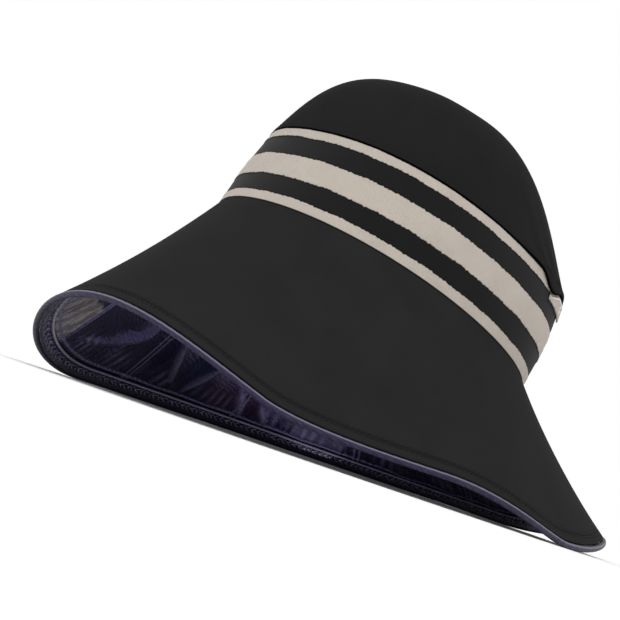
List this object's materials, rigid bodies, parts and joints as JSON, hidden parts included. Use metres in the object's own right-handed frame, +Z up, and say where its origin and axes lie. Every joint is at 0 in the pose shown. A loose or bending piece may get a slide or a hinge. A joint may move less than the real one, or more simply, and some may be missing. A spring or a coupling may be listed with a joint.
{
  "type": "striped wide-brim sun hat",
  "caption": "Soft sun hat with a domed crown, a band of pale stripes and a wide sloping brim with a gathered glossy lining, resting on its rim.",
  "frame": {"origin": "on the surface that the rim rests on, below the middle of the hat's bounding box", "axes": "+Z up, -Y towards the wearer's front, +X towards the wearer's left; the hat's longest extent is along Y and its shortest along Z"},
  "size_m": [0.302, 0.344, 0.2045],
  "materials": {
    "charcoal_cloth": "matte fine weave",
    "dark_band_cloth": "matte knit",
    "pale_stripe": "matte ribbed knit",
    "glossy_lining": "glossy coated cloth",
    "rolled_edge": "satin rolled cloth"
  },
  "bodies": {
    "root": {"crown_cap": "charcoal_cloth", "band_wall": "dark_band_cloth", "stripe_bottom": "pale_stripe", "stripe_middle": "pale_stripe", "stripe_top": "pale_stripe", "band_join": "pale_stripe", "brim_outer": "charcoal_cloth", "brim_lining": "glossy_lining", "lining_hem": "glossy_lining", "brim_edge": "rolled_edge"}
  },
  "joints": []
}
